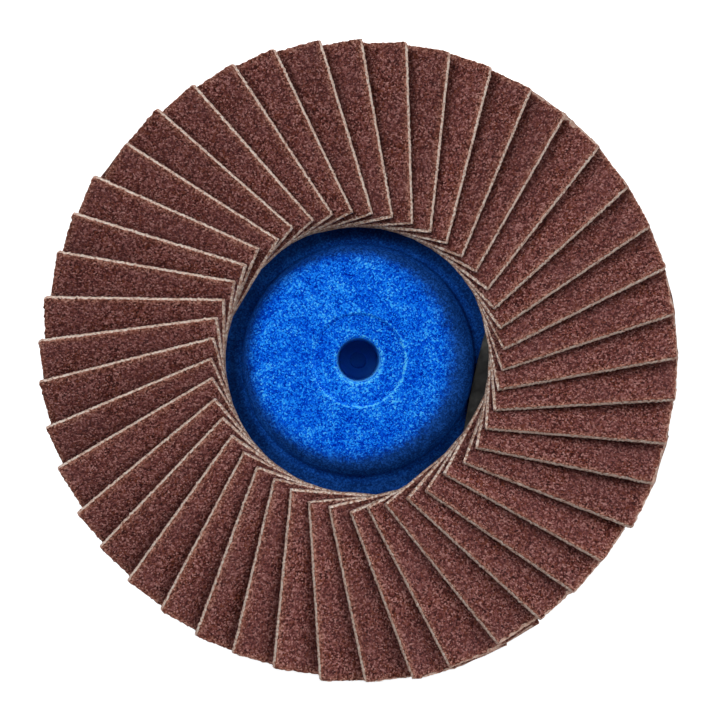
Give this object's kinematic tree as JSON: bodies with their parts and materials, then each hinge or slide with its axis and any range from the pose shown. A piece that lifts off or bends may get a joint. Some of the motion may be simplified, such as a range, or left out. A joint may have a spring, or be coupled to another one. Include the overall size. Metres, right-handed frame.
{
  "type": "flap disc",
  "caption": "Round quick-change flap disc: overlapping coated-abrasive cloth flaps fanned round a blue moulded plastic backing plate with a threaded stud behind.",
  "frame": {"origin": "on the disc's axis, in the plane of the plate's rear seat", "axes": "+Z along the axis towards the abrasive face, the stud points along -Z; +Y is the 12 o'clock of the flaps' numbering"},
  "size_m": [0.0746, 0.0753, 0.017],
  "materials": {
    "blue_plastic": "moulded blue plastic with a fine sparkling grain",
    "cured_resin": "dark grey cured resin",
    "abrasive_cloth": "woven cloth coated with reddish brown abrasive grain"
  },
  "bodies": {
    "root": {"backing_plate": "blue_plastic", "resin_bed": "cured_resin", "flap_01": "abrasive_cloth", "flap_02": "abrasive_cloth", "flap_03": "abrasive_cloth", "flap_04": "abrasive_cloth", "flap_05": "abrasive_cloth", "flap_06": "abrasive_cloth", "flap_07": "abrasive_cloth", "flap_08": "abrasive_cloth", "flap_09": "abrasive_cloth", "flap_10": "abrasive_cloth", "flap_11": "abrasive_cloth", "flap_12": "abrasive_cloth", "flap_13": "abrasive_cloth", "flap_14": "abrasive_cloth", "flap_15": "abrasive_cloth", "flap_16": "abrasive_cloth", "flap_17": "abrasive_cloth", "flap_18": "abrasive_cloth", "flap_19": "abrasive_cloth", "flap_20": "abrasive_cloth", "flap_21": "abrasive_cloth", "flap_22": "abrasive_cloth", "flap_23": "abrasive_cloth", "flap_24": "abrasive_cloth", "flap_25": "abrasive_cloth", "flap_26": "abrasive_cloth", "flap_27": "abrasive_cloth", "flap_28": "abrasive_cloth", "flap_29": "abrasive_cloth", "flap_30": "abrasive_cloth", "flap_31": "abrasive_cloth", "flap_32": "abrasive_cloth", "flap_33": "abrasive_cloth", "flap_34": "abrasive_cloth", "flap_35": "abrasive_cloth", "flap_36": "abrasive_cloth", "flap_37": "abrasive_cloth", "flap_38": "abrasive_cloth", "flap_39": "abrasive_cloth", "flap_40": "abrasive_cloth", "flap_41": "abrasive_cloth", "flap_42": "abrasive_cloth", "flap_43": "abrasive_cloth", "flap_44": "abrasive_cloth", "flap_45": "abrasive_cloth"}
  },
  "joints": []
}
